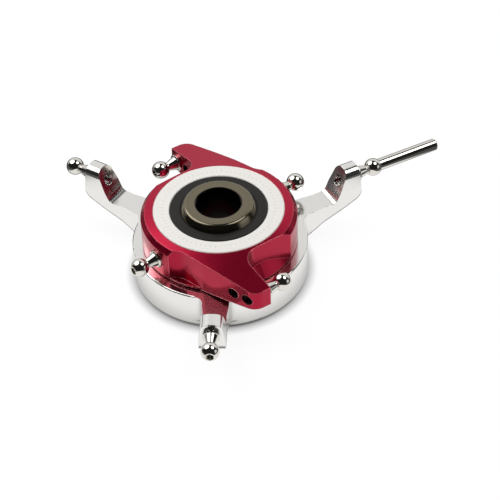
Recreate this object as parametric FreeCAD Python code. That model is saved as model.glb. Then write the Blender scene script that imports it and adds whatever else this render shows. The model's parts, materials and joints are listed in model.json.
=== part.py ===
import FreeCAD, Part
import math
import os
from FreeCAD import Vector

os.makedirs("parts", exist_ok=True)

# Swashplate of a model helicopter, in millimetres.
# The origin is the centre of the centre ball, +Z runs up the main shaft, and +X runs along the arm
# that carries the anti-rotation pin.

# Fits
fit_gap = 0.02                # radial gap at fixed fits, which glue or a thread fills
seat_gap = 0.03               # radial running gap between the centre ball and its seats
plate_gap = 0.3               # gap between the rotating body and the stationary ring
cut_margin = 1.0              # a cut reaches this far past the face it opens

# Centre ball, which slides on the main shaft
shaft_bore_r = 6.0
centre_ball_r = 12.0
centre_ball_height = 15.4
centre_ball_edge = 0.9        # rounding where the sphere meets its flats
bore_chamfer = 0.35

# Ball seats
seat_wall = 1.85              # thickness at the equator
seat_split = 0.3              # gap between the two seats at the equator
lower_seat_depth = 4.9        # from the equator down to the shim
seat_shim_thickness = 0.3
seat_shim_step = 0.3          # the shim stands back this far from the ball
seat_step = 0.45              # shoulder that the cap ring clamps
seat_edge_chamfer = 0.25

# Cap ring
cap_ring_r = 17.9
cap_ring_thickness = 2.4
cap_ring_edge = 0.2

# Rotating body: a turned ring with two lobes and a hub
body_top = 5.8                # top of the cap ring and upper seat
ring_r = 21.4
ring_bottom = -4.9
ring_chamfer_width = 1.1
ring_chamfer_drop = 1.5
top_slope = 9.6               # degrees that the top falls outwards
lobe_underside_slope = 11.5   # degrees that the lobe's underside rises outwards
top_edge_step = 0.2           # top of the red ring below the cap ring
rim_chamfer = 0.2
hub_opening_step = 0.35       # the hub's opening, which clears the tilted shaft, stands back from the ball
hub_tail = 0.2                # the hub reaches this far below its nut
hub_boss_step = 0.5           # the shoulder above the bearing covers the inner race and this much more
hub_boss_depth = 1.0

# Lobes, in the lobe's own frame: outwards, and sideways towards its ball
lobe_angle = 278.0
lobe_length = 31.6
lobe_corner = 3.4             # rounding of the outer far corner
lobe_far_side = 11.6          # sideways reach of the far flank, at the outer ball hole
lobe_taper = 17.2             # degrees between the far flank and the lobe's centre line
lobe_ball_inset = 2.8         # from the lobe's end in to its ball
spare_hole_step = 4.2         # the spare hole lies this far inside the one in use

# Pocket beside each lobe, which leaves room for the link
pocket_wall_step = 0.85       # the wall stands this far outside the cap ring
pocket_corner = 4.2
pocket_ledge = -0.8           # height of the middle of the wall's foot
pocket_ramp = 58.0            # degrees that the turned ramp under it falls outwards

# Scallop on the far side of each lobe
scallop_r = 4.8
scallop_offset = 2.94         # its centre lies this far outside the ring
scallop_angle = -64.96        # degrees round from the lobe
scallop_crease_out = 14.9
rim_flange = 0.7              # thickness left under the scallop

# Radial studs on the rotating body
follower_angle = 190.9
spot_face_step = 0.25         # the spot face is this much wider than the stud's collar
spot_face_depth = 0.2

# Ball studs
stud_ball_r = 2.5
stud_standoff = 5.8           # from the face it seats on to the ball's centre
stud_collar_r = 2.45
stud_collar_thickness = 0.9
stud_collar_chamfer = 0.25
neck_base_r = 1.95
neck_tip_r = 1.2
neck_tip_reach = 2.3          # where the neck's cone ends, inside the ball
stud_shank_r = 1.5
stud_shank_length = 3.6
stud_flat = 2.12              # from the ball's centre to its flat end
hex_across = 2.0
hex_depth = 1.7

# Anti-rotation pin
pin_r = 1.7
pin_length = 20.6             # from the ball's centre
pin_end_chamfer = 0.35

# Stationary ring and its three arms
plate_wall = 3.2              # outside the bearing
plate_lip = 1.1               # thickness of the lip over the bearing
plate_lip_width = 1.6
plate_skirt = 3.2             # depth below the bearing
plate_top_edge = 0.4
plate_bottom_edge = 1.5
plate_bore_chamfer = 0.4
arm_angles = (0.0, 120.0, 240.0)
arm_ball_r = 48.7
arm_root_half = 3.6
arm_root_fillet = 2.8
arm_waist_half = 3.15
arm_waist_round = 6.0
tab_half = 3.5
tab_depth = 8.0               # at its foot, from the inner face to the stud's seat
tab_shoulder_out = 2.0        # the tab has its full width this far outside its foot
tab_shoulder_round = 8.0
tab_top = 3.7
tab_crown_half = 2.7          # half width of the crown before it is rounded
tab_crown_round = 2.4
tab_lean = 24.0               # degrees that the tab's inner face leans outwards
tab_foot_fillet = 2.2
tab_outer_lean = 0.5
tab_heel = -5.3               # where the outer face meets the underside
tab_heel_round = 3.0
underside_slope = 23.2        # degrees

# Bearing, a thin deep-groove one with two shields
bearing_bore_r = 15.0
bearing_section = 6.0         # from its bore to its outside
bearing_width = 7.0
bearing_ball_r = 1.75
bearing_ball_count = 16
race_land = 1.8               # thickness of each race at its lands
groove_gap = 0.06
race_edge = 0.3
cage_half_width = 2.15
cage_thickness = 1.2
cage_pocket_gap = 0.15
shield_thickness = 0.25
shield_inset = 0.2
shield_gap = 0.3

# Clamping of the bearing
nut_inset = 0.1               # the nut stays this far inside the inner race's land
nut_thickness = 2.5
nut_thread_step = 0.4
nut_slot_width = 2.0
nut_slot_depth = 1.0
nut_slot_count = 6
circlip_thickness = 1.2
circlip_side_gap = 0.1
circlip_groove = 1.1
circlip_band = 2.2
circlip_opening = 34.0        # degrees between the ears
circlip_ear_r = 1.7
circlip_ear_hole_r = 0.8

# Sizes that follow from the ones above
seat_bore_r = centre_ball_r + seat_gap + seat_wall
upper_seat_top_r = seat_bore_r - seat_step
cap_floor = body_top - cap_ring_thickness
seat_floor = -(lower_seat_depth + seat_shim_thickness)
seat_shim_bore_r = math.sqrt(centre_ball_r ** 2 - lower_seat_depth ** 2) + seat_shim_step
hub_opening_r = math.sqrt(centre_ball_r ** 2 - seat_floor ** 2) + hub_opening_step
hub_boss_bottom = ring_bottom - hub_boss_depth
bearing_outer_r = bearing_bore_r + bearing_section
plate_r = bearing_outer_r + plate_wall
plate_top = ring_bottom - plate_gap
bearing_top = plate_top - plate_lip
bearing_bottom = bearing_top - bearing_width
bearing_middle = bearing_top - bearing_width / 2
plate_bottom = bearing_bottom - plate_skirt
plate_height = plate_top - plate_bottom
pitch_r = (bearing_bore_r + bearing_outer_r) / 2
inner_land_r = bearing_bore_r + race_land
outer_land_r = bearing_outer_r - race_land
nut_bottom = bearing_bottom - nut_thickness
stud_hole_r = stud_shank_r + fit_gap
spot_face_r = stud_collar_r + spot_face_step
tab_face_r = arm_ball_r - stud_standoff
tab_foot_r = tab_face_r - tab_depth
arm_start_r = (bearing_outer_r + circlip_groove + plate_r) / 2
top_fall = math.tan(math.radians(top_slope))
top_r = cap_ring_r + fit_gap
top_z = body_top - top_edge_step
pocket_wall_r = cap_ring_r + pocket_wall_step
lobe_ball_r = lobe_length - lobe_ball_inset
lobe_near_side = -stud_standoff
follower_ball_r = ring_r - spot_face_depth + stud_standoff
beyond = arm_ball_r + ring_r  # further out than any cut has to reach
axis_z = Vector(0, 0, 1)
origin = Vector(0, 0, 0)


def on_xy(u, v):
    return Vector(u, v, 0)


def on_xz(u, v):
    return Vector(u, 0, v)


def on_yz(u, v):
    return Vector(0, u, v)


def rounded_face(corners, place):
    """Face inside a closed outline; each corner is (u, v) or (u, v, radius)."""
    starts = []
    ends = []
    arcs = []
    for index, corner in enumerate(corners):
        here = Vector(corner[0], corner[1], 0)
        before = corners[index - 1]
        after = corners[(index + 1) % len(corners)]
        to_before = (Vector(before[0], before[1], 0) - here).normalize()
        to_after = (Vector(after[0], after[1], 0) - here).normalize()
        radius = corner[2] if len(corner) > 2 else 0
        straight = to_before.getAngle(to_after) > math.pi - 0.001
        if radius == 0 or straight:
            starts.append(here)
            ends.append(here)
            arcs.append(None)
            continue
        half = to_before.getAngle(to_after) / 2
        reach = radius / math.tan(half)
        bisector = (to_before + to_after).normalize()
        middle = here + bisector * (radius / math.sin(half) - radius)
        starts.append(here + to_before * reach)
        ends.append(here + to_after * reach)
        arcs.append(middle)
    edges = []
    for index, middle in enumerate(arcs):
        start = place(starts[index].x, starts[index].y)
        end = place(ends[index].x, ends[index].y)
        if middle is not None:
            edges.append(Part.Arc(start, place(middle.x, middle.y), end).toShape())
        following = starts[(index + 1) % len(starts)]
        target = place(following.x, following.y)
        if end.distanceToPoint(target) > 1e-6:
            edges.append(Part.LineSegment(end, target).toShape())
    return Part.Face(Part.Wire(edges))


def turned(corners):
    """Solid turned about Z from a profile of (radius, height) corners."""
    return rounded_face(corners, on_xz).revolve(origin, axis_z, 360)


def tube(inner, outer, low, high):
    return turned([(inner, low), (outer, low), (outer, high), (inner, high)])


def plate(corners, low, high):
    """Plate between two heights from a plan outline."""
    solid = rounded_face(corners, on_xy).extrude(Vector(0, 0, high - low))
    solid.translate(Vector(0, 0, low))
    return solid


def about_z(shape, angle):
    copy = shape.copy()
    copy.rotate(origin, axis_z, angle)
    return copy


def top_at(radius):
    """Height of the rotating body's sloping top."""
    return top_z - (radius - top_r) * top_fall


def spherical_cut(shape):
    return shape.cut(Part.makeSphere(centre_ball_r + seat_gap))


def circle_edges(shape, height, radius):
    """Round edges of a given radius at a given height."""
    found = []
    for edge in shape.Edges:
        if edge.Curve.TypeId != "Part::GeomCircle":
            continue
        if abs(edge.Curve.Center.z - height) < 1e-4 and abs(edge.Curve.Radius - radius) < 1e-4:
            found.append(edge)
    return found


def centre_ball():
    half = centre_ball_height / 2
    flat_r = math.sqrt(centre_ball_r ** 2 - half ** 2)
    slab = Part.makeCylinder(centre_ball_r, centre_ball_height, Vector(0, 0, -half))
    body = Part.makeSphere(centre_ball_r).common(slab)
    rims = circle_edges(body, half, flat_r) + circle_edges(body, -half, flat_r)
    body = body.makeFillet(centre_ball_edge, rims)
    bore = turned([
        (0, -half - bore_chamfer), (shaft_bore_r + 2 * bore_chamfer, -half - bore_chamfer),
        (shaft_bore_r, -half + bore_chamfer), (shaft_bore_r, half - bore_chamfer),
        (shaft_bore_r + 2 * bore_chamfer, half + bore_chamfer), (0, half + bore_chamfer),
    ])
    return body.cut(bore)


def upper_ball_seat():
    outer = seat_bore_r - fit_gap
    blank = turned([
        (0, seat_split / 2), (outer, seat_split / 2), (outer, cap_floor - fit_gap),
        (upper_seat_top_r, cap_floor - fit_gap), (upper_seat_top_r, body_top - seat_edge_chamfer),
        (upper_seat_top_r - seat_edge_chamfer, body_top), (0, body_top),
    ])
    return spherical_cut(blank)


def lower_ball_seat():
    outer = seat_bore_r - fit_gap
    blank = Part.makeCylinder(outer, lower_seat_depth - seat_split / 2, Vector(0, 0, -lower_seat_depth))
    return spherical_cut(blank)


def seat_shim():
    return tube(seat_shim_bore_r, seat_bore_r - fit_gap, seat_floor, -lower_seat_depth)


def cap_ring():
    inner = upper_seat_top_r + fit_gap
    return turned([
        (inner, cap_floor), (cap_ring_r, cap_floor), (cap_ring_r, body_top - cap_ring_edge),
        (cap_ring_r - cap_ring_edge, body_top), (inner + cap_ring_edge, body_top),
        (inner, body_top - cap_ring_edge),
    ])


def body_blank():
    """The turned ring and hub."""
    hub_r = bearing_bore_r - fit_gap
    thread_r = bearing_bore_r - nut_thread_step
    hub_bottom = nut_bottom - hub_tail
    hub_boss_r = inner_land_r + hub_boss_step
    chamfer_r = ring_r - ring_chamfer_width
    return turned([
        (hub_opening_r, hub_bottom), (thread_r, hub_bottom), (thread_r, bearing_bottom),
        (hub_r, bearing_bottom), (hub_r, hub_boss_bottom), (hub_boss_r, hub_boss_bottom),
        (hub_boss_r, ring_bottom), (ring_r - rim_chamfer, ring_bottom),
        (ring_r, ring_bottom + rim_chamfer), (ring_r, top_at(chamfer_r) - ring_chamfer_drop),
        (chamfer_r, top_at(chamfer_r)), (top_r, top_z), (top_r, cap_floor),
        (seat_bore_r, cap_floor), (seat_bore_r, seat_floor), (hub_opening_r, seat_floor),
    ])


def flank_side(outwards):
    """Sideways place of the lobe's far flank at a distance outwards."""
    return -lobe_far_side - (lobe_ball_r - outwards) * math.tan(math.radians(lobe_taper))


def lobe():
    """One lobe: a turned wedge cut to the lobe's plan."""
    inside = seat_bore_r + cut_margin
    rise = math.tan(math.radians(lobe_underside_slope))
    wedge = turned([
        (inside, ring_bottom), (ring_r, ring_bottom), (beyond, ring_bottom + (beyond - ring_r) * rise),
        (beyond, top_at(beyond)), (top_r, top_z), (top_r, cap_floor), (inside, cap_floor),
    ])
    root = pocket_wall_r + pocket_corner
    root_side = lobe_near_side + pocket_corner
    plan = plate([
        (lobe_length, lobe_near_side), (root, lobe_near_side), (root, root_side), (0, root_side),
        (0, flank_side(0)), (lobe_length, flank_side(lobe_length), lobe_corner),
    ], ring_bottom - cut_margin, body_top + cut_margin)
    return wedge.common(plan)


def pocket():
    """Cut for the pocket: an upright wall over a turned ramp that falls to the rim."""
    column = plate([
        (pocket_wall_r, lobe_near_side, pocket_corner), (beyond, lobe_near_side),
        (beyond, beyond), (pocket_wall_r, beyond),
    ], ring_bottom - cut_margin, body_top + cut_margin)
    fall = math.tan(math.radians(pocket_ramp))
    start = pocket_wall_r - cut_margin
    end = 2 * beyond
    above_ramp = turned([
        (start, pocket_ledge + cut_margin * fall), (end, pocket_ledge - (end - pocket_wall_r) * fall),
        (end, body_top + cut_margin), (start, body_top + cut_margin),
    ])
    return column.common(above_ramp)


def scallop():
    """Cut for the scallop between a radial stud and the lobe's far flank."""
    centre_r = ring_r + scallop_offset
    angle = math.radians(scallop_angle)
    centre = Vector(centre_r * math.cos(angle), centre_r * math.sin(angle), 0)
    crease = Vector(scallop_crease_out, flank_side(scallop_crease_out), 0)
    to_crease = crease - centre
    swing = math.acos(scallop_r / to_crease.Length)
    start_angle = math.atan2(to_crease.y, to_crease.x) + swing
    start = centre + Vector(math.cos(start_angle), math.sin(start_angle), 0) * scallop_r
    middle_angle = (start_angle + math.pi) / 2
    middle = centre + Vector(math.cos(middle_angle), math.sin(middle_angle), 0) * scallop_r
    end = centre + Vector(-scallop_r, 0, 0)
    far = Vector(beyond, flank_side(beyond), 0)
    corners = [end, Vector(end.x, -beyond, 0), Vector(beyond, -beyond, 0), far, crease, start]
    edges = [Part.Arc(start, middle, end).toShape()]
    for first, second in zip(corners, corners[1:]):
        edges.append(Part.LineSegment(first, second).toShape())
    floor = ring_bottom + rim_flange
    cut = Part.Face(Part.Wire(edges)).extrude(Vector(0, 0, body_top + cut_margin - floor))
    cut.translate(Vector(0, 0, floor))
    return cut


def lobe_holes():
    """The two cross holes in a lobe, of which the outer one takes the stud."""
    holes = []
    for outwards in (lobe_ball_r, lobe_ball_r - spare_hole_step):
        hole = Part.makeCylinder(stud_hole_r, ring_r, Vector(outwards, lobe_near_side, 0), Vector(0, -1, 0))
        holes.append(hole)
    return holes[0].fuse(holes[1:])


def follower_socket():
    """Threaded hole and spot face for a radial stud, along +X."""
    seat = follower_ball_r - stud_standoff
    bottom = Vector(seat - stud_shank_length - fit_gap, 0, 0)
    hole = Part.makeCylinder(stud_hole_r, ring_r, bottom, Vector(1, 0, 0))
    face = Part.makeCylinder(spot_face_r, ring_r, Vector(seat, 0, 0), Vector(1, 0, 0))
    return hole.fuse(face)


def rotating_body():
    body = body_blank()
    for turn in (0, 180):
        body = body.fuse(about_z(lobe(), lobe_angle + turn))
    for turn in (0, 180):
        body = body.cut(about_z(pocket(), lobe_angle + turn))
        body = body.cut(about_z(scallop(), lobe_angle + turn))
        body = body.cut(about_z(lobe_holes(), lobe_angle + turn))
        body = body.cut(about_z(follower_socket(), follower_angle + turn))
    return body.removeSplitter()


def hex_socket(height):
    """Hexagonal recess that opens upwards at a height."""
    corner_r = hex_across / 2 / math.cos(math.radians(30))
    corners = []
    for step in range(6):
        angle = math.radians(60 * step)
        corners.append((corner_r * math.cos(angle), corner_r * math.sin(angle)))
    return plate(corners, height - hex_depth, height + cut_margin)


def stud_stem():
    """Shank, collar and neck of a stud, along +Z with its ball centred at the origin."""
    seat = -stud_standoff
    front = seat + stud_collar_thickness
    return turned([
        (0, seat - stud_shank_length), (stud_shank_r, seat - stud_shank_length), (stud_shank_r, seat),
        (stud_collar_r, seat), (stud_collar_r, front - stud_collar_chamfer),
        (stud_collar_r - stud_collar_chamfer, front), (neck_base_r, front), (neck_tip_r, -neck_tip_reach),
        (neck_tip_r, 0), (0, 0),
    ])


def ball_stud():
    stud = stud_stem().fuse(Part.makeSphere(stud_ball_r))
    waste = Part.makeCylinder(stud_ball_r, stud_ball_r, Vector(0, 0, stud_flat))
    return stud.cut(waste).cut(hex_socket(stud_flat))


def ball_pin():
    """The rear stud, whose ball carries the plain anti-rotation pin."""
    pin = turned([
        (0, 0), (pin_r, 0), (pin_r, pin_length - pin_end_chamfer), (pin_r - pin_end_chamfer, pin_length),
        (0, pin_length),
    ])
    return stud_stem().fuse([Part.makeSphere(stud_ball_r), pin])


def point_outwards(stud, radius, angle):
    """Lay a stud along a radius, with its ball at that distance from the shaft."""
    stud.rotate(origin, Vector(0, 1, 0), 90)
    stud.translate(Vector(radius, 0, 0))
    return about_z(stud, angle)


def point_sideways(stud, radius, angle):
    """Lay a stud across a lobe, square to the radius through its ball."""
    stud.rotate(origin, Vector(1, 0, 0), -90)
    stud.translate(Vector(radius, 0, 0))
    return about_z(stud, angle)


def arm_side():
    """Side outline of an arm: flat top, leaning tab and sloping underside."""
    lean = math.tan(math.radians(tab_lean))
    fall = math.tan(math.radians(underside_slope))
    above = tab_top + cut_margin
    heel_r = tab_face_r + tab_outer_lean
    side = rounded_face([
        (arm_start_r, plate_top), (tab_foot_r, plate_top, tab_foot_fillet),
        (tab_foot_r + (above - plate_top) * lean, above), (tab_face_r, above), (tab_face_r, -stud_collar_r),
        (heel_r, tab_heel, tab_heel_round), (arm_start_r, tab_heel - (heel_r - arm_start_r) * fall),
    ], on_xz)
    solid = side.extrude(Vector(0, 4 * arm_root_half, 0))
    solid.translate(Vector(0, -2 * arm_root_half, 0))
    return solid


def arm_plan():
    """Plan of an arm: root fillets that touch the ring's wall, a waist, and the tab's full width."""
    reach = plate_r + arm_root_fillet
    across = arm_root_half + arm_root_fillet
    touch_side = across * plate_r / reach
    touch_out = math.sqrt(plate_r ** 2 - touch_side ** 2)
    root_r = (plate_r ** 2 - touch_side * arm_root_half) / touch_out
    arm_waist_r = (reach + tab_foot_r) / 2
    outline = []
    for hand in (1, -1):
        half = [
            (beyond, hand * tab_half),
            (tab_foot_r + tab_shoulder_out, hand * tab_half, tab_shoulder_round),
            (arm_waist_r, hand * arm_waist_half, arm_waist_round), (reach, hand * arm_root_half),
            (root_r, hand * arm_root_half, arm_root_fillet), (touch_out, hand * touch_side),
            (arm_start_r, hand * touch_side),
        ]
        outline += half if hand == 1 else half[::-1]
    return plate(outline, plate_bottom, tab_top + cut_margin)


def arm_section():
    """Space that an arm may fill seen end on: full width up to the ring's top, then the tab's crown."""
    outline = []
    for hand in (1, -1):
        half = [
            (hand * tab_half, plate_bottom), (hand * tab_half, -stud_collar_r),
            (hand * tab_crown_half, tab_top, tab_crown_round),
        ]
        outline += half if hand == 1 else half[::-1]
    crown = rounded_face(outline, on_yz).extrude(Vector(2 * beyond, 0, 0))
    corner = Vector(0, -2 * arm_root_half, plate_bottom)
    return crown.fuse(Part.makeBox(2 * beyond, 4 * arm_root_half, plate_height, corner))


def arm():
    """One arm and its tab, along +X, with the hole for its stud."""
    hole = Part.makeCylinder(stud_hole_r, beyond, Vector(plate_r, 0, 0), Vector(1, 0, 0))
    inside = Part.makeCylinder(arm_start_r, 2 * plate_height, Vector(0, 0, plate_bottom))
    return arm_side().common(arm_plan()).common(arm_section()).cut(hole).cut(inside)


def stationary_ring():
    bore = bearing_outer_r + fit_gap
    plate_lip_r = bearing_outer_r - plate_lip_width
    groove_r = bearing_outer_r + circlip_groove
    groove_bottom = bearing_bottom - circlip_thickness - circlip_side_gap
    ring = turned([
        (plate_lip_r, plate_top), (plate_r, plate_top, plate_top_edge),
        (plate_r, plate_bottom, plate_bottom_edge), (bore + plate_bore_chamfer, plate_bottom),
        (bore, plate_bottom + plate_bore_chamfer), (bore, groove_bottom), (groove_r, groove_bottom),
        (groove_r, bearing_bottom), (bore, bearing_bottom), (bore, bearing_top), (plate_lip_r, bearing_top),
    ])
    return ring.fuse([about_z(arm(), angle) for angle in arm_angles]).removeSplitter()


def groove():
    """Ring of the bearing's raceway, cut from both races."""
    return Part.makeTorus(pitch_r, bearing_ball_r + groove_gap, Vector(0, 0, bearing_middle))


def shield_recess():
    """Steps in the outer race that hold the two shields."""
    depth = shield_inset + shield_thickness
    inner = outer_land_r - cut_margin
    outer = outer_land_r + shield_gap
    upper = tube(inner, outer, bearing_top - depth, bearing_top + cut_margin)
    lower = tube(inner, outer, bearing_bottom - cut_margin, bearing_bottom + depth)
    return upper.fuse(lower)


def bearing_outer_race():
    race = turned([
        (outer_land_r, bearing_bottom), (bearing_outer_r, bearing_bottom, race_edge),
        (bearing_outer_r, bearing_top, race_edge), (outer_land_r, bearing_top),
    ])
    return race.cut(groove()).cut(shield_recess())


def bearing_inner_race():
    race = turned([
        (bearing_bore_r, bearing_bottom, race_edge), (inner_land_r, bearing_bottom),
        (inner_land_r, bearing_top), (bearing_bore_r, bearing_top, race_edge),
    ])
    return race.cut(groove())


def bearing_shield(low):
    return tube(inner_land_r + shield_gap, outer_land_r + shield_gap - fit_gap, low, low + shield_thickness)


def around_bearing(shape):
    """Copies of a shape at every ball of the bearing."""
    return [about_z(shape, 360 * step / bearing_ball_count) for step in range(bearing_ball_count)]


def bearing_balls():
    ball = Part.makeSphere(bearing_ball_r, Vector(pitch_r, 0, bearing_middle))
    return Part.makeCompound(around_bearing(ball))


def bearing_cage():
    inner = pitch_r - cage_thickness / 2
    low = bearing_middle - cage_half_width
    band = tube(inner, inner + cage_thickness, low, low + 2 * cage_half_width)
    start = Vector(inner - cage_thickness, 0, bearing_middle)
    hole = Part.makeCylinder(bearing_ball_r + cage_pocket_gap, 3 * cage_thickness, start, Vector(1, 0, 0))
    return band.cut(around_bearing(hole))


def race_spacer():
    """Thin ring between the hub's shoulder and the inner race."""
    return tube(bearing_bore_r, inner_land_r, bearing_top, hub_boss_bottom)


def hub_nut():
    inner = bearing_bore_r - nut_thread_step + fit_gap
    outer = inner_land_r - nut_inset
    nut = tube(inner, outer, nut_bottom, bearing_bottom)
    corner = Vector(outer - nut_slot_depth, -nut_slot_width / 2, nut_bottom)
    slot = Part.makeBox(2 * nut_slot_depth, nut_slot_width, nut_thickness, corner)
    return nut.cut([about_z(slot, 360 * step / nut_slot_count) for step in range(nut_slot_count)])


def bearing_circlip():
    """Spring ring with two ears, in the groove under the bearing."""
    outer = bearing_outer_r + circlip_groove - circlip_side_gap
    low = bearing_bottom - circlip_thickness
    band = tube(outer - circlip_band, outer, low, bearing_bottom)
    ear_centre_r = outer - circlip_ear_r
    half_gap = circlip_opening / 2
    out = beyond * math.cos(math.radians(half_gap))
    across = beyond * math.sin(math.radians(half_gap))
    opening = plate([(0, 0), (out, -across), (out, across)], low, bearing_bottom)
    band = band.cut(opening)
    for hand in (1, -1):
        ear = Part.makeCylinder(circlip_ear_r, circlip_thickness, Vector(ear_centre_r, 0, low))
        start = Vector(ear_centre_r, 0, low - cut_margin)
        hole = Part.makeCylinder(circlip_ear_hole_r, circlip_thickness + 2 * cut_margin, start)
        band = band.fuse(about_z(ear, hand * half_gap)).cut(about_z(hole, hand * half_gap))
    return band.removeSplitter()


def save(name, shape):
    shape.exportStep("parts/" + name + ".step")
    print(name, "solids", len(shape.Solids), "valid", shape.isValid(), "volume", round(shape.Volume, 2))


lobe_studs = []
follower_studs = []
for turn in (0, 180):
    lobe_studs.append(point_sideways(ball_stud(), lobe_ball_r, lobe_angle + turn))
    follower_studs.append(point_outwards(ball_stud(), follower_ball_r, follower_angle + turn))
arm_studs = [point_outwards(ball_stud(), arm_ball_r, angle) for angle in arm_angles[1:]]
upper_shield_low = bearing_top - shield_inset - shield_thickness
lower_shield_low = bearing_bottom + shield_inset

save("centre_ball", centre_ball())
save("upper_ball_seat", upper_ball_seat())
save("lower_ball_seat", lower_ball_seat())
save("seat_shim", seat_shim())
save("cap_ring", cap_ring())
save("rotating_body", rotating_body())
save("lobe_ball_studs", Part.makeCompound(lobe_studs))
save("follower_ball_studs", Part.makeCompound(follower_studs))
save("stationary_ring", stationary_ring())
save("arm_ball_studs", Part.makeCompound(arm_studs))
save("anti_rotation_pin", point_outwards(ball_pin(), arm_ball_r, arm_angles[0]))
save("bearing_outer_race", bearing_outer_race())
save("bearing_inner_race", bearing_inner_race())
save("bearing_balls", bearing_balls())
save("bearing_cage", bearing_cage())
save("upper_bearing_shield", bearing_shield(upper_shield_low))
save("lower_bearing_shield", bearing_shield(lower_shield_low))
save("race_spacer", race_spacer())
save("hub_nut", hub_nut())
save("bearing_circlip", bearing_circlip())
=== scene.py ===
import json
import math
import bpy
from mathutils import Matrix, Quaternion, Vector


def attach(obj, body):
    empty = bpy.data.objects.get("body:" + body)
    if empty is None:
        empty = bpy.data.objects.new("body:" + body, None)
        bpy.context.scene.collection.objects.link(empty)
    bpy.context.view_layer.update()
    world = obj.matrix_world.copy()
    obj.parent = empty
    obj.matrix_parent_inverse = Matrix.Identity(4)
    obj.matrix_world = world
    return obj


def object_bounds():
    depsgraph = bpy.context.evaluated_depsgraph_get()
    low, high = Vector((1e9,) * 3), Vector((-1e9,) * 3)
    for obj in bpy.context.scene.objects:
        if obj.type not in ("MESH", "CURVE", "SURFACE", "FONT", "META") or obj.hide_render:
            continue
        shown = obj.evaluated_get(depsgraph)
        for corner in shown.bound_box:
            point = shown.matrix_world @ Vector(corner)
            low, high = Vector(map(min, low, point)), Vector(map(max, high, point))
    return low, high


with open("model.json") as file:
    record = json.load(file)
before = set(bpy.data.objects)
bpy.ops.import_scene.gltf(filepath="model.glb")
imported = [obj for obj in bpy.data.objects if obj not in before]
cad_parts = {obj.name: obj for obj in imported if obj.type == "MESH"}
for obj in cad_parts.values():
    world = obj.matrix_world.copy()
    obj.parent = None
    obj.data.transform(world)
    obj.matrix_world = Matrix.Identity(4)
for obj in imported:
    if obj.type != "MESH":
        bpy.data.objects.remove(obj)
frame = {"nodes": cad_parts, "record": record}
nodes = frame["nodes"]
cadLow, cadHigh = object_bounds()
print("frame loaded:", len(nodes), "nodes")

# Camera

cameraSet = {
    "target": (0.00371, -0.01071, -0.00284),
    "azimuth": -26.484,      # degrees, 0 looks along +Y
    "elevation": 42.56,
    "roll": 2.09,
    "distance": 0.50867,
    "lens": 134.97,
    "clip": (0.01, 20),
}


def makeCamera():
    azimuth = math.radians(cameraSet["azimuth"])
    elevation = math.radians(cameraSet["elevation"])
    level = math.cos(elevation)
    back = Vector((math.sin(azimuth) * level, -math.cos(azimuth) * level, math.sin(elevation)))
    data = bpy.data.cameras.new("camera")
    data.lens = cameraSet["lens"]
    data.clip_start, data.clip_end = cameraSet["clip"]
    camera = bpy.data.objects.new("camera", data)
    bpy.context.scene.collection.objects.link(camera)
    camera.location = Vector(cameraSet["target"]) + back * cameraSet["distance"]
    camera.rotation_mode = "QUATERNION"
    roll = Quaternion((0, 0, 1), -math.radians(cameraSet["roll"]))
    camera.rotation_quaternion = (-back).to_track_quat("-Z", "Y") @ roll
    bpy.context.scene.camera = camera


makeCamera()
print("camera set")

# Node tree helpers


def addNode(tree, kind, settings=None, inputs=None):
    node = tree.nodes.new(kind)
    for name, value in (settings or {}).items():
        setattr(node, name, value)
    for name, value in (inputs or {}).items():
        if isinstance(value, bpy.types.NodeSocket):
            tree.links.new(value, node.inputs[name])
        else:
            node.inputs[name].default_value = value
    return node


def math2(tree, operation, first, second=0.0, clamp=False):
    settings = {"operation": operation, "use_clamp": clamp}
    return addNode(tree, "ShaderNodeMath", settings, {0: first, 1: second}).outputs[0]


def spread(tree, value, low, high):
    # a value from 0 to 1 laid out between low and high
    limits = {"Value": value, "To Min": low, "To Max": high}
    return addNode(tree, "ShaderNodeMapRange", {"clamp": True}, limits).outputs[0]


def fade(tree, value, start, end, low=0.0, high=1.0, kind="SMOOTHSTEP"):
    # from low to high while the value goes from start to end
    limits = {"Value": value, "From Min": start, "From Max": end, "To Min": low, "To Max": high}
    return addNode(tree, "ShaderNodeMapRange", {"interpolation_type": kind}, limits).outputs[0]


def newGroup(name, inputs, outputs):
    tree = bpy.data.node_groups.new(name, "ShaderNodeTree")
    for socketName, value in inputs:
        socket = tree.interface.new_socket(socketName, in_out="INPUT", socket_type="NodeSocketFloat")
        socket.default_value = value
    for socketName in outputs:
        tree.interface.new_socket(socketName, in_out="OUTPUT", socket_type="NodeSocketFloat")
    return tree, tree.nodes.new("NodeGroupInput").outputs, tree.nodes.new("NodeGroupOutput").inputs


def useGroup(tree, group, inputs):
    return addNode(tree, "ShaderNodeGroup", {"node_tree": group}, inputs).outputs


def objectPlace(tree):
    return addNode(tree, "ShaderNodeTexCoord").outputs["Object"]


def turnAboutZ(tree, place, angle):
    settings = {"rotation_type": "Z_AXIS"}
    return addNode(tree, "ShaderNodeVectorRotate", settings, {"Vector": place, "Angle": angle}).outputs[0]


def splitXyz(tree, value):
    return addNode(tree, "ShaderNodeSeparateXYZ", None, {0: value}).outputs


def dotProduct(tree, first, second):
    settings = {"operation": "DOT_PRODUCT"}
    return addNode(tree, "ShaderNodeVectorMath", settings, {0: first, 1: second}).outputs["Value"]


def hypotenuse(tree, first, second):
    squares = math2(tree, "ADD", math2(tree, "POWER", first, 2.0), math2(tree, "POWER", second, 2.0))
    return math2(tree, "SQRT", squares)


def fromShaft(tree):
    parts = splitXyz(tree, objectPlace(tree))
    return hypotenuse(tree, parts[0], parts[1])


def roundedNormal(tree, radius):
    return addNode(tree, "ShaderNodeBevel", {"samples": 6}, {"Radius": radius}).outputs[0]


def plainNormal(tree):
    return addNode(tree, "ShaderNodeNewGeometry").outputs["Normal"]


# Shared effects

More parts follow.
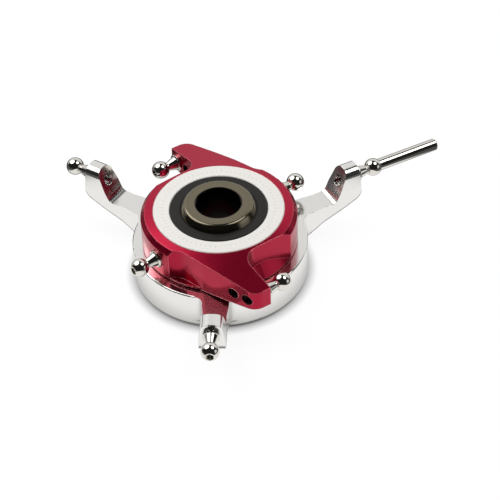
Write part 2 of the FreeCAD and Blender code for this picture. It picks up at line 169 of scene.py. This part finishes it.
effects = {
    "coarseShare": 0.13,     # scale of the lathe's coarse rings, as a share of the fine ones
    "coarseDepth": 0.8,
    "downGain": 3.0,         # how fast a corner that turns down goes dark
    "downLimit": -0.95,      # faces that look further down than this are left out
}


def makeTurnedGrain():
    # rings left by the lathe tool: they run round the shaft's axis on flats and walls alike
    tree, given, result = newGroup("turnedGrain", [("Scale", 9000.0), ("Depth", 1.0)], ["Height", "Mask"])
    parts = splitXyz(tree, objectPlace(tree))
    radius = hypotenuse(tree, parts[0], parts[1])
    plane = addNode(tree, "ShaderNodeCombineXYZ", None, {0: radius, 1: parts[2]}).outputs[0]
    flat = {"noise_dimensions": "2D"}
    fine = addNode(tree, "ShaderNodeTexNoise", flat, {
        "Vector": plane, "Scale": given["Scale"], "Detail": 2.0, "Roughness": 0.6}).outputs["Fac"]
    wider = math2(tree, "MULTIPLY", given["Scale"], effects["coarseShare"])
    coarse = addNode(tree, "ShaderNodeTexNoise", flat, {
        "Vector": plane, "Scale": wider, "Detail": 1.0}).outputs["Fac"]
    height = math2(tree, "ADD", fine, math2(tree, "MULTIPLY", coarse, effects["coarseDepth"]))
    tree.links.new(math2(tree, "MULTIPLY", height, given["Depth"]), result["Height"])
    tree.links.new(coarse, result["Mask"])
    return tree


def makeFineGrain():
    # the even grain of a blasted, etched or moulded face
    tree, given, result = newGroup("fineGrain", [("Scale", 12000.0), ("Depth", 1.0)], ["Height"])
    noise = addNode(tree, "ShaderNodeTexNoise", None, {
        "Vector": objectPlace(tree), "Scale": given["Scale"], "Detail": 3.0,
        "Roughness": 0.65}).outputs["Fac"]
    tree.links.new(math2(tree, "MULTIPLY", noise, given["Depth"]), result["Height"])
    return tree


def makeHandling():
    # slow patches where fingers, oil and polish have changed the gloss
    tree, given, result = newGroup("handling", [("Scale", 90.0)], ["Mask"])
    noise = addNode(tree, "ShaderNodeTexNoise", None, {
        "Vector": objectPlace(tree), "Scale": given["Scale"], "Detail": 4.0, "Roughness": 0.55,
        "Distortion": 0.6}).outputs["Fac"]
    tree.links.new(spread(tree, noise, 0.0, 1.0), result["Mask"])
    return tree


def makeEdgeWear():
    # corners lightened as painted edge highlights, partly also where the finish is thin or worn bright
    tree, given, result = newGroup("edgeWearAndHighlight", [("Width", 0.00025), ("Gain", 6.0)], ["Mask"])
    agree = dotProduct(tree, roundedNormal(tree, given["Width"]), plainNormal(tree))
    turned = math2(tree, "SUBTRACT", 1.0, agree)
    tree.links.new(math2(tree, "MULTIPLY", turned, given["Gain"], clamp=True), result["Mask"])
    return tree


def makeUnderEdge():
    # painted shade: corners that turn down toward the table are darkened, as if they lay in the part's own
    # shade
    tree, given, result = newGroup("underEdge", [("Width", 0.0005)], ["Mask"])
    rise = splitXyz(tree, roundedNormal(tree, given["Width"]))[2]
    turnsDown = math2(tree, "MULTIPLY", rise, -effects["downGain"], clamp=True)
    upright = math2(tree, "GREATER_THAN", splitXyz(tree, plainNormal(tree))[2], effects["downLimit"])
    tree.links.new(math2(tree, "MULTIPLY", turnsDown, upright), result["Mask"])
    return tree


turnedGrain = makeTurnedGrain()
fineGrain = makeFineGrain()
handling = makeHandling()
edgeWearAndHighlight = makeEdgeWear()
underEdge = makeUnderEdge()


def newMaterial(name):
    material = bpy.data.materials.new(name)
    material.use_nodes = True
    tree = material.node_tree
    return material, tree, tree.nodes["Principled BSDF"]


def newFinish(name, finish):
    # a material with the finish's gloss, and the mask of its handled patches
    material, tree, shader = newMaterial(name)
    shader.inputs["Metallic"].default_value = finish["metallic"]
    patches = useGroup(tree, handling, {"Scale": finish["patchScale"]})["Mask"]
    tree.links.new(spread(tree, patches, *finish["roughness"]), shader.inputs["Roughness"])
    return material, tree, shader, patches


def blendColours(tree, mask, first, second):
    node = addNode(tree, "ShaderNodeMix", {"data_type": "RGBA"}, {0: mask})
    for index, value in ((6, first), (7, second)):
        if isinstance(value, bpy.types.NodeSocket):
            tree.links.new(value, node.inputs[index])
        else:
            node.inputs[index].default_value = (*value, 1)
    return node.outputs[2]


def latheMarks(tree, finish):
    return useGroup(tree, turnedGrain, {"Scale": finish["ringScale"], "Depth": finish["ringDepth"]})


def grainHeight(tree, finish):
    return useGroup(tree, fineGrain, {"Scale": finish["grainScale"], "Depth": finish["grainDepth"]})["Height"]


def surfaceNormal(tree, shader, finish, height):
    bump = addNode(tree, "ShaderNodeBump", None, {
        "Strength": finish["bump"], "Distance": 0.00001, "Height": height,
        "Normal": roundedNormal(tree, finish["edge"])})
    tree.links.new(bump.outputs[0], shader.inputs["Normal"])


# Red anodised ring

mounts = {mount["name"]: mount for mount in frame["record"]["mounts"]}
lobeBall = Vector(mounts["first_lobe_ball"]["pos_m"])
lobeTurn = -math.atan2(lobeBall.y, lobeBall.x)
redFinish = {
    "metallic": 0.80,
    "roughness": (0.20, 0.27),
    "coat": 0.10,
    "coatRoughness": 0.10,
    "deep": (0.40, 0.003, 0.030),
    "full": (0.49, 0.005, 0.042),
    # edge colour: painted highlight along the edges, partly also worn anodising
    "paintedEdgeShading": (0.85, 0.34, 0.36),
    "edgeLineWidth": 0.00042,
    "edgeLineGain": 3.0,
    # painted shade inside the lobes' cross holes
    "paintedHoleShade": (0.030, 0.002, 0.004),
    "holeReach": (0.0288, 0.0246),   # from the shaft out to the lobes' cross holes
    "holeRadius": 0.00157,
    "patchScale": 60.0,
    "ringScale": 7000.0,
    "ringDepth": 0.6,
    "grainScale": 16000.0,
    "grainDepth": 0.35,
    "bump": 0.35,
    "edge": 0.00035,
}


def redAnodised():
    material, tree, shader, patches = newFinish("redAnodised", redFinish)
    shader.inputs["Coat Weight"].default_value = redFinish["coat"]
    shader.inputs["Coat Roughness"].default_value = redFinish["coatRoughness"]
    dye = blendColours(tree, patches, redFinish["deep"], redFinish["full"])
    edgeLineSettings = {"Width": redFinish["edgeLineWidth"], "Gain": redFinish["edgeLineGain"]}
    # edges lightened: painted edge highlights, partly also wear
    wornAndHighlit = useGroup(tree, edgeWearAndHighlight, edgeLineSettings)["Mask"]
    colour = blendColours(tree, wornAndHighlit, dye, redFinish["paintedEdgeShading"])
    parts = splitXyz(tree, turnAboutZ(tree, objectPlace(tree), lobeTurn))
    # the insides of the cross holes are painted dark, as shade
    for reach in redFinish["holeReach"]:
        beside = math2(tree, "SUBTRACT", math2(tree, "ABSOLUTE", parts[0]), reach)
        inside = math2(tree, "LESS_THAN", hypotenuse(tree, beside, parts[2]), redFinish["holeRadius"])
        colour = blendColours(tree, inside, colour, redFinish["paintedHoleShade"])
    tree.links.new(colour, shader.inputs["Base Color"])
    rings = latheMarks(tree, redFinish)["Height"]
    surfaceNormal(tree, shader, redFinish, math2(tree, "ADD", rings, grainHeight(tree, redFinish)))
    return material


# Silver cap ring

capFinish = {
    "metallic": 0.25,
    "roughness": (0.42, 0.52),
    "base": (0.93, 0.905, 0.865),
    "shade": (0.88, 0.855, 0.815),
    "patchScale": 120.0,
    "ringScale": 5200.0,
    "ringDepth": 1.0,
    "grainScale": 14000.0,
    "grainDepth": 1.2,
    "bump": 0.5,
    "edge": 0.00012,
    "mark": (0.56, 0.55, 0.53),
    "marks": 72,                 # plain divisions etched round the ring
    "marksToLong": 6,
    "markFrom": 0.0151,
    "markLong": 0.0164,
    "markShort": 0.0158,
    "markHalfWidth": 0.0001,
    "markFaint": (0.25, 0.75),
}


def toNearest(tree, value):
    # how far a value is from the nearest whole number
    return math2(tree, "ABSOLUTE", math2(tree, "SUBTRACT", value, math2(tree, "ROUND", value)))


def scaleMarks(tree):
    # thin radial strokes, every sixth one longer
    parts = splitXyz(tree, objectPlace(tree))
    radius = hypotenuse(tree, parts[0], parts[1])
    division = math.tau / capFinish["marks"]
    turns = math2(tree, "MULTIPLY", math2(tree, "ARCTAN2", parts[1], parts[0]), 1 / division)
    across = math2(tree, "MULTIPLY", toNearest(tree, turns), radius)
    stroke = math2(tree, "LESS_THAN", across, capFinish["markHalfWidth"] / division)
    number = math2(tree, "MULTIPLY", math2(tree, "ROUND", turns), 1 / capFinish["marksToLong"])
    isLong = math2(tree, "LESS_THAN", toNearest(tree, number), 0.5 / capFinish["marksToLong"])
    end = spread(tree, isLong, capFinish["markShort"], capFinish["markLong"])
    band = math2(tree, "MULTIPLY", math2(tree, "GREATER_THAN", radius, capFinish["markFrom"]),
                 math2(tree, "LESS_THAN", radius, end))
    return math2(tree, "MULTIPLY", stroke, band)


def satinSilver():
    material, tree, shader, patches = newFinish("satinSilver", capFinish)
    rings = latheMarks(tree, capFinish)
    plain = blendColours(tree, rings["Mask"], capFinish["shade"], capFinish["base"])
    faint = math2(tree, "MULTIPLY", scaleMarks(tree), spread(tree, patches, *capFinish["markFaint"]))
    tree.links.new(blendColours(tree, faint, plain, capFinish["mark"]), shader.inputs["Base Color"])
    surfaceNormal(tree, shader, capFinish, math2(tree, "ADD", rings["Height"], grainHeight(tree, capFinish)))
    return material


# Polished silver ring and arms

silverFinish = {
    "metallic": 1.0,
    "roughness": (0.13, 0.19),
    "base": (0.91, 0.895, 0.87),
    "shade": (0.85, 0.835, 0.81),
    # painted shade on corners that turn down
    "under": (0.10, 0.095, 0.09),
    "underWidth": 0.0007,
    "ringOut": 0.0243,           # lathe marks stop here; the arms are milled
    "patchScale": 70.0,
    "ringScale": 8000.0,
    "ringDepth": 0.18,
    "grainScale": 9000.0,
    "grainDepth": 0.10,
    "bump": 0.10,
    "edge": 0.00016,
}


def polishedSilver():
    material, tree, shader, patches = newFinish("polishedSilver", silverFinish)
    metal = blendColours(tree, patches, silverFinish["shade"], silverFinish["base"])
    # downward corners painted dark as shade
    shaded = useGroup(tree, underEdge, {"Width": silverFinish["underWidth"]})["Mask"]
    tree.links.new(blendColours(tree, shaded, metal, silverFinish["under"]), shader.inputs["Base Color"])
    onRing = math2(tree, "LESS_THAN", fromShaft(tree), silverFinish["ringOut"])
    rings = math2(tree, "MULTIPLY", latheMarks(tree, silverFinish)["Height"], onRing)
    surfaceNormal(tree, shader, silverFinish, math2(tree, "ADD", rings, grainHeight(tree, silverFinish)))
    return material


# Plated studs and pin

studFinish = {
    "metallic": 1.0,
    "roughness": (0.03, 0.08),
    "base": (0.80, 0.775, 0.72),
    "shade": (0.752, 0.7285, 0.6768),
    "patchScale": 300.0,
    "grainScale": 5000.0,
    "grainDepth": 0.3,
    "bump": 0.06,
    "edge": 0.0001,
}


def brightPlate():
    material, tree, shader, patches = newFinish("brightPlate", studFinish)
    tree.links.new(blendColours(tree, patches, studFinish["shade"], studFinish["base"]),
                   shader.inputs["Base Color"])
    surfaceNormal(tree, shader, studFinish, grainHeight(tree, studFinish))
    return material


# Hard-anodised centre ball

ballFinish = {
    "metallic": 1.0,
    "roughness": (0.15, 0.22),
    "base": (0.235, 0.207, 0.148),
    "shade": (0.170, 0.148, 0.103),
    "bore": (0.012, 0.011, 0.010),   # painted shade in the shaft bore
    "boreOut": (0.00635, 0.0066),
    "paintedSeatShade": (0.11, 0.098, 0.072),    # painted shade on the sphere beside its seat
    "paintedSeatShadeTop": (0.0062, 0.0070),
    "paintedSeatShadeShare": 0.85,
    "patchScale": 150.0,
    "ringScale": 6000.0,
    "ringDepth": 0.8,
    "bump": 0.4,
    "edge": 0.0003,
}


def hardAnodised():
    material, tree, shader = newFinish("hardAnodised", ballFinish)[:3]
    rings = latheMarks(tree, ballFinish)
    colour = blendColours(tree, rings["Mask"], ballFinish["shade"], ballFinish["base"])
    height = math2(tree, "ABSOLUTE", splitXyz(tree, objectPlace(tree))[2])
    # the sphere is painted darker beside its seat, as shade where it meets the seat
    paintedSeatShade = fade(tree, height, *ballFinish["paintedSeatShadeTop"], ballFinish["paintedSeatShadeShare"], 0.0)
    colour = blendColours(tree, paintedSeatShade, colour, ballFinish["paintedSeatShade"])
    # the shaft bore is painted near black, as shade in the hole
    boreShadeMask = fade(tree, fromShaft(tree), *ballFinish["boreOut"], 1.0, 0.0, "LINEAR")
    tree.links.new(blendColours(tree, boreShadeMask, colour, ballFinish["bore"]), shader.inputs["Base Color"])
    surfaceNormal(tree, shader, ballFinish, rings["Height"])
    return material


# Moulded seats

seatFinish = {
    "metallic": 0.0,
    "specular": 0.3,
    "roughness": (0.30, 0.42),
    "base": (0.014, 0.012, 0.010),
    "shade": (0.008, 0.007, 0.006),
    # painted shade on the inner lip beside the ball
    "paintedEdgeShading": (0.0015, 0.0013, 0.0012),
    "paintedLipShadeOut": 0.0107,         # the inner lip, painted black as shade in the gap beside the ball, ends here
    "patchScale": 200.0,
    "ringScale": 4000.0,
    "ringDepth": 0.8,
    "grainScale": 7000.0,
    "grainDepth": 1.0,
    "bump": 0.6,
    "edge": 0.0001,
}


def mouldedSeat():
    material, tree, shader, patches = newFinish("mouldedSeat", seatFinish)
    shader.inputs["Specular IOR Level"].default_value = seatFinish["specular"]
    # the inner lip is painted near black, as shade in the gap beside the ball
    lip = math2(tree, "LESS_THAN", fromShaft(tree), seatFinish["paintedLipShadeOut"])
    moulded = blendColours(tree, patches, seatFinish["shade"], seatFinish["base"])
    tree.links.new(blendColours(tree, lip, moulded, seatFinish["paintedEdgeShading"]), shader.inputs["Base Color"])
    rings = latheMarks(tree, seatFinish)["Height"]
    surfaceNormal(tree, shader, seatFinish, math2(tree, "ADD", rings, grainHeight(tree, seatFinish)))
    return material


# Bearing, shim, nut and circlip

steelFinishes = {
    "groundSteel": {
        "base": (0.62, 0.62, 0.61), "metallic": 1.0, "roughness": (0.10, 0.18), "ringScale": 6000.0},
    "pressedSteel": {
        "base": (0.50, 0.49, 0.47), "metallic": 1.0, "roughness": (0.28, 0.40), "ringScale": 3500.0},
    "blackedSteel": {
        "base": (0.045, 0.046, 0.050), "metallic": 0.7, "roughness": (0.38, 0.52), "ringScale": 4500.0},
    "blackAnodised": {
        "base": (0.030, 0.030, 0.033), "metallic": 0.6, "roughness": (0.30, 0.42), "ringScale": 7000.0},
}
steelCommon = {"patchScale": 180.0, "ringDepth": 0.8, "bump": 0.4, "edge": 0.00008, "shade": 0.8}


def steel(name):
    finish = {**steelCommon, **steelFinishes[name]}
    material, tree, shader, patches = newFinish(name, finish)
    shade = [finish["shade"] * part for part in finish["base"]]
    tree.links.new(blendColours(tree, patches, shade, finish["base"]), shader.inputs["Base Color"])
    surfaceNormal(tree, shader, finish, latheMarks(tree, finish)["Height"])
    return material


def dressNodes():
    finishes = (
        (redAnodised(), ("rotating_body",)),
        (satinSilver(), ("cap_ring",)),
        (polishedSilver(), ("stationary_ring",)),
        (brightPlate(), ("arm_ball_studs", "lobe_ball_studs", "follower_ball_studs", "anti_rotation_pin")),
        (hardAnodised(), ("centre_ball",)),
        (mouldedSeat(), ("upper_ball_seat", "lower_ball_seat")),
        (steel("pressedSteel"), ("seat_shim", "race_spacer", "upper_bearing_shield",
                                 "lower_bearing_shield", "bearing_cage")),
        (steel("groundSteel"), ("bearing_outer_race", "bearing_inner_race", "bearing_balls")),
        (steel("blackAnodised"), ("hub_nut",)),
        (steel("blackedSteel"), ("bearing_circlip",)),
    )
    for material, names in finishes:
        for name in names:
            for slot in nodes[name].material_slots:
                slot.material = material


dressNodes()
print("materials made")

# Threads in the holes that can be looked into

thread = {
    "wall": 0.00153,       # the ridge's root, just inside the hole's wall
    "crest": 0.00127,
    "pitch": 0.0005,
    "rootHalf": 0.42,      # half widths of root and crest, as shares of the pitch
    "crestHalf": 0.06,
    "steps": 24,           # round one turn
    "cut": 0.0002,         # how far the thread stops short of the hole's mouth
    "seatOut": 0.0058,     # from a stud's ball back to the face it seats on
    "shank": 0.0036,       # how far its shank then fills the hole
    "lobeMouth": 0.0116,   # from a lobe's ball to the far mouth of its hole
    "lobeTaper": 17.2,     # degrees that the lobe's far flank lies aslant
    "tabMouth": 0.0057,    # from a tab's outer face to its hole's mouth
    "tabLean": 24.0,       # degrees that the tab's inner face leans
}


def makeThread(name, origin, along, start, end, startSlope, endSlope, sideways, body, material):
    # a helical ridge from start to end along a hole; the mouths may lie aslant, by slope along sideways
    third = along.cross(sideways)
    turns = (end - start) / thread["pitch"]
    count = int(turns * thread["steps"]) + 1
    rise = thread["pitch"] / thread["steps"]
    profile = ((thread["wall"], -thread["rootHalf"]), (thread["crest"], -thread["crestHalf"]),
               (thread["crest"], thread["crestHalf"]), (thread["wall"], thread["rootHalf"]))
    points = []
    for step in range(count):
        turn = math.tau * step / thread["steps"]
        outward = sideways * math.cos(turn) + third * math.sin(turn)
        for radius, offset in profile:
            side = radius * math.cos(turn)
            height = start + rise * step + offset * thread["pitch"]
            height = max(height, start + startSlope * side + thread["cut"])
            height = min(height, end + endSlope * side - thread["cut"])
            points.append(origin + outward * radius + along * height)
    faces = []
    size = len(profile)
    for step in range(count - 1):
        for index in range(size):
            after = (index + 1) % size
            low = step * size
            faces.append((low + index, low + after, low + size + after, low + size + index))
    faces.append(tuple(range(size))[::-1])
    faces.append(tuple(range((count - 1) * size, count * size)))
    mesh = bpy.data.meshes.new(name)
    mesh.from_pydata([tuple(point) for point in points], [], faces)
    mesh.validate()
    ridge = bpy.data.objects.new(name, mesh)
    bpy.context.scene.collection.objects.link(ridge)
    mesh.materials.append(material)
    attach(ridge, body)


def cutThreads():
    up = Vector((0, 0, 1))
    silver = bpy.data.materials["polishedSilver"]
    red = bpy.data.materials["redAnodised"]
    lean = math.tan(math.radians(thread["tabLean"]))
    taper = math.tan(math.radians(thread["lobeTaper"]))
    for side in ("left", "right", "rear"):
        mount = mounts[side + "_servo_ball"]
        inwards = -Vector(mount["axis"])
        face = Vector(mount["pos_m"]) + inwards * thread["seatOut"]
        makeThread(side + "_tab_thread", face, inwards, thread["shank"], thread["tabMouth"], 0.0, -lean,
                   up, "stationary", silver)
    for order in ("first", "second"):
        mount = mounts[order + "_lobe_ball"]
        across = -Vector(mount["axis"])
        ball = Vector(mount["pos_m"])
        outwards = ball.normalized()
        start = thread["seatOut"] + thread["shank"]
        makeThread(order + "_lobe_thread", ball, across, start, thread["lobeMouth"], 0.0, -taper,
                   outwards, "rotating", red)
        spare = mounts[order + "_lobe_spare_hole"]
        half = spare["dims"]["length_mm"] / 2000
        makeThread(order + "_spare_thread", Vector(spare["pos_m"]), across, -half, half, 0.0, -taper,
                   outwards, "rotating", red)


cutThreads()
print("threads cut")

# Studio

studio = {
    "floorHalf": 3.0,
    "floorRoughness": 0.9,
    "floorColour": (0.80, 0.80, 0.80),
    "floorSeen": (0.12, 0.12, 0.12),
    "floorShade": (0.02, 0.02, 0.02),
    "floorLift": 0.91,           # extra white that only the camera sees
    "floorMirrored": 0.94,       # the white that metal sees
    "floorFar": 0.09,            # and past the sheet's edges
    "sheetHalf": 0.068,          # half the width of the white sheet, as metal sees it
    "sheetBack": 0.028,          # and how far it reaches behind the shaft
    "sheetBackShare": 0.5,       # its far edge is softer than its sides
    "sheetSoft": 0.004,
    "contact": 0.0030,           # reach of the shade beside the foot
    "contactMirrored": 0.0075,   # and as metal sees it
    "backWall": 0.80,            # the white sweep behind, as metal sees it
    "backFrom": (0.25, 0.55),    # where it begins, going back
    "wallTop": 0.77,             # sine of the sweep's upper edge
    "wallSoft": 0.04,
    "underFrom": (-0.15, -0.05),
    "underLight": 0.8,           # share of the sweep's white that comes from below the table
    "cardBearing": -40.0,        # a white card low in front, which the turned ramps catch
    "cardElevation": 12.0,
    "cardReach": 16.0,
    "cardSoft": 5.0,
    "cardLight": 0.9,
    "ceiling": 0.015,
    "fill": 0.48,                # even light from all round on matt surfaces
}

# each softbox: direction in degrees from +X round to +Y, elevation, distance, radius and power
softboxes = {
    "keySoftbox": {"bearing": 127.0, "elevation": 54.0, "distance": 0.60, "radius": 0.27, "power": 1.6},
    "sideSoftbox": {"bearing": -22.0, "elevation": 62.5, "distance": 0.60, "radius": 0.17, "power": 0.85},
}


def towards(bearing, elevation):
    bearing = math.radians(bearing)
    elevation = math.radians(elevation)
    level = math.cos(elevation)
    return Vector((math.cos(bearing) * level, math.sin(bearing) * level, math.sin(elevation)))


def asFaced(tree, place):
    # sideways, away and up, for someone who stands in front
    return splitXyz(tree, turnAboutZ(tree, place, -math.radians(cameraSet["azimuth"])))


def dressFloor(tree, shader):
    shader.inputs["Roughness"].default_value = studio["floorRoughness"]
    shader.inputs["Specular IOR Level"].default_value = 0.0
    shader.inputs["Emission Color"].default_value = (1, 1, 1, 1)
    path = addNode(tree, "ShaderNodeLightPath").outputs
    parts = asFaced(tree, objectPlace(tree))
    across = math2(tree, "SUBTRACT", math2(tree, "ABSOLUTE", parts[0]), studio["sheetHalf"])
    back = math2(tree, "SUBTRACT", parts[1], studio["sheetBack"])
    edge = math2(tree, "MAXIMUM", across, math2(tree, "MULTIPLY", back, studio["sheetBackShare"]))
    beyond = fade(tree, edge, -studio["sheetSoft"], studio["sheetSoft"])
    reach = spread(tree, path["Is Camera Ray"], studio["contactMirrored"], studio["contact"])
    openness = addNode(tree, "ShaderNodeAmbientOcclusion", {"samples": 12}, {"Distance": reach}).outputs["AO"]
    paper = blendColours(tree, path["Is Camera Ray"], studio["floorColour"], studio["floorSeen"])
    paper = blendColours(tree, path["Is Glossy Ray"], paper, (0.0, 0.0, 0.0))
    tree.links.new(blendColours(tree, openness, studio["floorShade"], paper), shader.inputs["Base Color"])
    seen = math2(tree, "MULTIPLY", path["Is Camera Ray"], studio["floorLift"])
    sheet = spread(tree, beyond, studio["floorMirrored"], studio["floorFar"])
    mirrored = math2(tree, "MULTIPLY", path["Is Glossy Ray"], sheet)
    white = math2(tree, "MULTIPLY", math2(tree, "ADD", seen, mirrored), openness)
    tree.links.new(white, shader.inputs["Emission Strength"])
    # clear from below, so that the part's underside can be looked at
    clear = addNode(tree, "ShaderNodeBsdfTransparent").outputs[0]
    under = addNode(tree, "ShaderNodeNewGeometry").outputs["Backfacing"]
    sided = addNode(tree, "ShaderNodeMixShader", None, {0: under, 1: shader.outputs[0], 2: clear}).outputs[0]
    tree.links.new(sided, tree.nodes["Material Output"].inputs["Surface"])


def makeFloor():
    half = studio["floorHalf"]
    mesh = bpy.data.meshes.new("floor")
    corners = [(x * half, y * half, cadLow.z) for x, y in ((-1, -1), (1, -1), (1, 1), (-1, 1))]
    mesh.from_pydata(corners, [], [(0, 1, 2, 3)])
    floor = bpy.data.objects.new("floor", mesh)
    bpy.context.scene.collection.objects.link(floor)
    material, tree, shader = newMaterial("whitePaper")
    dressFloor(tree, shader)
    mesh.materials.append(material)


def makeWorld():
    world = bpy.data.worlds.new("studio")
    bpy.context.scene.world = world
    world.use_nodes = True
    tree = world.node_tree
    shade = tree.nodes["Background"]
    place = addNode(tree, "ShaderNodeTexCoord").outputs["Generated"]
    parts = asFaced(tree, place)
    top = studio["wallTop"]
    below = fade(tree, parts[2], top - studio["wallSoft"], top + studio["wallSoft"], 1.0, 0.0)
    wall = math2(tree, "MULTIPLY", below, fade(tree, parts[1], *studio["backFrom"]))
    under = fade(tree, parts[2], *studio["underFrom"], studio["underLight"], 0.0)
    facing = dotProduct(tree, place, towards(studio["cardBearing"], studio["cardElevation"]))
    outside = math.cos(math.radians(studio["cardReach"] + studio["cardSoft"]))
    inside = math.cos(math.radians(studio["cardReach"] - studio["cardSoft"]))
    card = fade(tree, facing, outside, inside, 0.0, studio["cardLight"])
    lit = math2(tree, "MAXIMUM", math2(tree, "MAXIMUM", wall, under), card)
    gloss = spread(tree, lit, studio["ceiling"], studio["backWall"])
    path = addNode(tree, "ShaderNodeLightPath").outputs
    light = addNode(tree, "ShaderNodeMix", None, {
        0: path["Is Glossy Ray"], 2: studio["fill"], 3: gloss}).outputs[0]
    light = addNode(tree, "ShaderNodeMix", None, {0: path["Is Camera Ray"], 2: light, 3: 1.0}).outputs[0]
    shade.inputs["Color"].default_value = (1, 1, 1, 1)
    tree.links.new(light, shade.inputs["Strength"])


def makeSoftboxes():
    for name, box in softboxes.items():
        data = bpy.data.lights.new(name, "AREA")
        data.shape = "DISK"
        data.size = 2 * box["radius"]
        data.energy = box["power"]
        away = towards(box["bearing"], box["elevation"])
        light = bpy.data.objects.new(name, data)
        bpy.context.scene.collection.objects.link(light)
        light.location = away * box["distance"]
        light.rotation_mode = "QUATERNION"
        light.rotation_quaternion = away.to_track_quat("Z", "Y")


makeFloor()
makeWorld()
makeSoftboxes()
bpy.context.scene.view_settings.view_transform = "Standard"
print("studio made")
